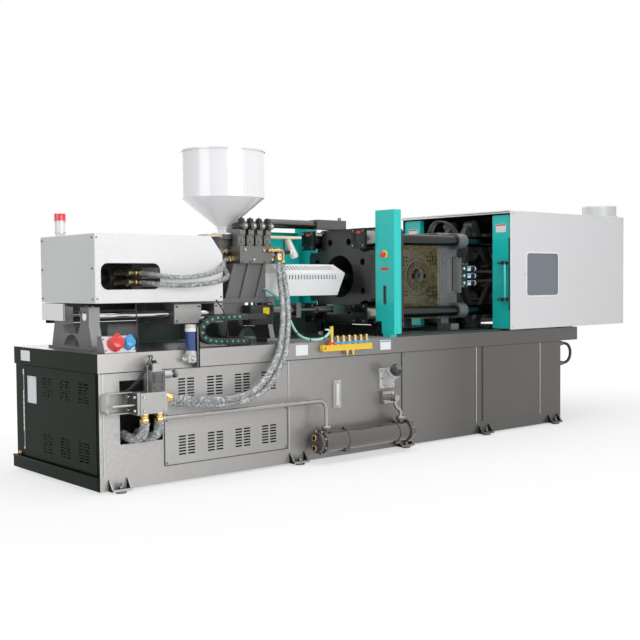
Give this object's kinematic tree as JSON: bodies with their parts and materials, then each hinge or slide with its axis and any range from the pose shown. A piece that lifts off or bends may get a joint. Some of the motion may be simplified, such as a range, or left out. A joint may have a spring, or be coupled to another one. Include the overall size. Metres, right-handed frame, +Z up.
{
  "type": "injection moulding machine",
  "caption": "Horizontal hydraulic toggle-clamp injection moulding machine with hopper, screw unit, tie-bar clamp, sliding guards and sheet-metal base.",
  "frame": {"origin": "centre of the footprint on the floor", "axes": "+X along the machine from the injection end to the clamp end, +Y to the operator's side, +Z up"},
  "size_m": [5.237, 1.482, 2.12],
  "materials": {
    "aluminium": "satin",
    "black_plastic": "matt",
    "black_rubber": "matt",
    "blue_plastic": "gloss",
    "chrome": "polished",
    "clear_pane": "clear",
    "cream": "satin",
    "dark_frame": "satin",
    "dark_steel": "oiled",
    "grey_casting": "matt paint",
    "hopper_white": "gloss",
    "pale_casting": "silver paint",
    "red_plastic": "gloss",
    "steel": "machined",
    "teal_paint": "satin",
    "white_paint": "satin",
    "yellow_metal": "gloss",
    "zinc": "zinc plated"
  },
  "bodies": {
    "machine": {"base_frame": "dark_frame", "louvred_panel": "dark_frame", "side_covers": "dark_frame", "fixed_platen": "grey_casting", "tie_bars": "chrome", "tie_bar_nuts": "dark_steel", "tail_platen": "grey_casting", "clamp_cylinder": "grey_casting", "clamp_guard": "white_paint", "guard_window": "clear_pane", "vent_cowl": "white_paint", "door_post": "teal_paint", "guide_rods": "chrome", "rod_stands": "pale_casting", "oil_cooler": "dark_frame", "cooler_pipes": "zinc", "lower_valve_block": "steel", "filler_neck": "aluminium", "level_gauge": "black_plastic", "water_manifold": "yellow_metal", "socket_box": "white_paint", "grease_pump": "blue_plastic", "operator_panel": "teal_paint", "pump_motor": "dark_frame", "pull_cylinder_platen_side": "zinc", "fixed_cables": "black_rubber", "carriage_hoses": "black_rubber", "drag_chain": "black_plastic"},
    "carriage": {"carriage_frame": "grey_casting", "barrel": "dark_steel", "heater_bands": "steel", "nozzle": "steel", "barrel_guard": "white_paint", "hopper": "hopper_white", "injection_manifold": "dark_steel", "injection_cover": "white_paint", "warning_lamp": "red_plastic", "terminal_box": "pale_casting", "pull_cylinder_carriage_side": "dark_steel", "motor_hoses": "black_rubber"},
    "hopper_gate": {"hopper_gate": "cream"},
    "injection_drive": {"thrust_plate": "grey_casting", "hydraulic_motor": "dark_steel"},
    "screw": {"screw": "steel"},
    "moving_platen": {"moving_platen": "grey_casting", "platen_valves": "dark_steel", "platen_hoses": "black_rubber"},
    "ejector": {"ejector": "steel"},
    "crosshead": {"crosshead": "grey_casting"},
    "rear_link_upper": {"rear_link_upper": "grey_casting"},
    "rear_link_lower": {"rear_link_lower": "grey_casting"},
    "front_link_upper": {"front_link_upper": "grey_casting"},
    "front_link_lower": {"front_link_lower": "grey_casting"},
    "small_link_upper": {"small_link_upper": "grey_casting"},
    "small_link_lower": {"small_link_lower": "grey_casting"},
    "front_door": {"front_door": "teal_paint"},
    "rear_door": {"rear_door": "teal_paint"},
    "cabinet_door": {"cabinet_door": "dark_frame"},
    "estop_button": {"estop_button": "red_plastic"},
    "filler_cap": {"filler_cap": "black_plastic"}
  },
  "joints": [
    {"name": "carriage_slide", "type": "slide", "parent": "machine", "child": "carriage", "axis": [1, 0, 0], "range_m": [0, 0.085], "deforming": ["carriage_hoses", "drag_chain"]},
    {"name": "hopper_gate_slide", "type": "slide", "parent": "carriage", "child": "hopper_gate", "axis": [1, 0, 0], "range_m": [0, 0.09]},
    {"name": "injection_slide", "type": "slide", "parent": "carriage", "child": "injection_drive", "axis": [1, 0, 0], "range_m": [-0.2, 0], "deforming": ["motor_hoses"]},
    {"name": "screw_spin", "type": "hinge", "parent": "injection_drive", "child": "screw", "pos_m": [-2.06, 0, 1.255], "axis": [1, 0, 0], "continuous": true},
    {"name": "clamp_slide", "type": "slide", "parent": "machine", "child": "moving_platen", "axis": [1, 0, 0], "range_m": [-0.36, 0]},
    {"name": "ejector_slide", "type": "slide", "parent": "moving_platen", "child": "ejector", "axis": [1, 0, 0], "range_m": [-0.085, 0]},
    {"name": "crosshead_slide", "type": "slide", "parent": "machine", "child": "crosshead", "axis": [1, 0, 0], "range_m": [-0.2552, 0]},
    {"name": "rear_link_upper_pivot", "type": "hinge", "parent": "machine", "child": "rear_link_upper", "pos_m": [1.319, 0, 1.345], "axis": [0, 1, 0], "range_deg": [-51.64, 0]},
    {"name": "rear_link_lower_pivot", "type": "hinge", "parent": "machine", "child": "rear_link_lower", "pos_m": [1.319, 0, 1.165], "axis": [0, 1, 0], "range_deg": [0, 51.64]},
    {"name": "front_link_upper_pivot", "type": "hinge", "parent": "moving_platen", "child": "front_link_upper", "pos_m": [0.899, 0, 1.345], "axis": [0, 1, 0], "range_deg": [0, 51.64]},
    {"name": "front_link_lower_pivot", "type": "hinge", "parent": "moving_platen", "child": "front_link_lower", "pos_m": [0.899, 0, 1.165], "axis": [0, 1, 0], "range_deg": [-51.64, 0]},
    {"name": "small_link_upper_pivot", "type": "hinge", "parent": "crosshead", "child": "small_link_upper", "pos_m": [1.07826, 0, 1.315], "axis": [0, 1, 0], "range_deg": [0, 52.55]},
    {"name": "small_link_lower_pivot", "type": "hinge", "parent": "crosshead", "child": "small_link_lower", "pos_m": [1.07826, 0, 1.195], "axis": [0, 1, 0], "range_deg": [-52.55, 0]},
    {"name": "front_door_slide", "type": "slide", "parent": "machine", "child": "front_door", "axis": [-1, 0, 0], "range_m": [0, 1.19]},
    {"name": "rear_door_slide", "type": "slide", "parent": "machine", "child": "rear_door", "axis": [-1, 0, 0], "range_m": [0, 1.12]},
    {"name": "cabinet_door_hinge", "type": "hinge", "parent": "machine", "child": "cabinet_door", "pos_m": [-2.614, 0.4313, 0.4], "axis": [0, 0, 1], "range_deg": [-110, 0]},
    {"name": "estop_press", "type": "slide", "parent": "machine", "child": "estop_button", "axis": [1, 0, 0], "range_m": [0, 0.005], "stiffness_N_per_m": 1200},
    {"name": "filler_cap_turn", "type": "hinge", "parent": "machine", "child": "filler_cap", "pos_m": [-0.321, -0.66028, 0.57847], "axis": [0, -0.766, 0.6428], "continuous": true}
  ],
  "couplings": [
    {"joint": "crosshead_slide", "follows": "clamp_slide", "ratio": 0.70857},
    {"joint": "rear_link_upper_pivot", "follows": "clamp_slide", "rad_per_m": 2.5027},
    {"joint": "rear_link_lower_pivot", "follows": "clamp_slide", "rad_per_m": -2.5027},
    {"joint": "front_link_upper_pivot", "follows": "clamp_slide", "rad_per_m": -2.5027},
    {"joint": "front_link_lower_pivot", "follows": "clamp_slide", "rad_per_m": 2.5027},
    {"joint": "small_link_upper_pivot", "follows": "clamp_slide", "rad_per_m": -2.5469},
    {"joint": "small_link_lower_pivot", "follows": "clamp_slide", "rad_per_m": 2.5469}
  ]
}
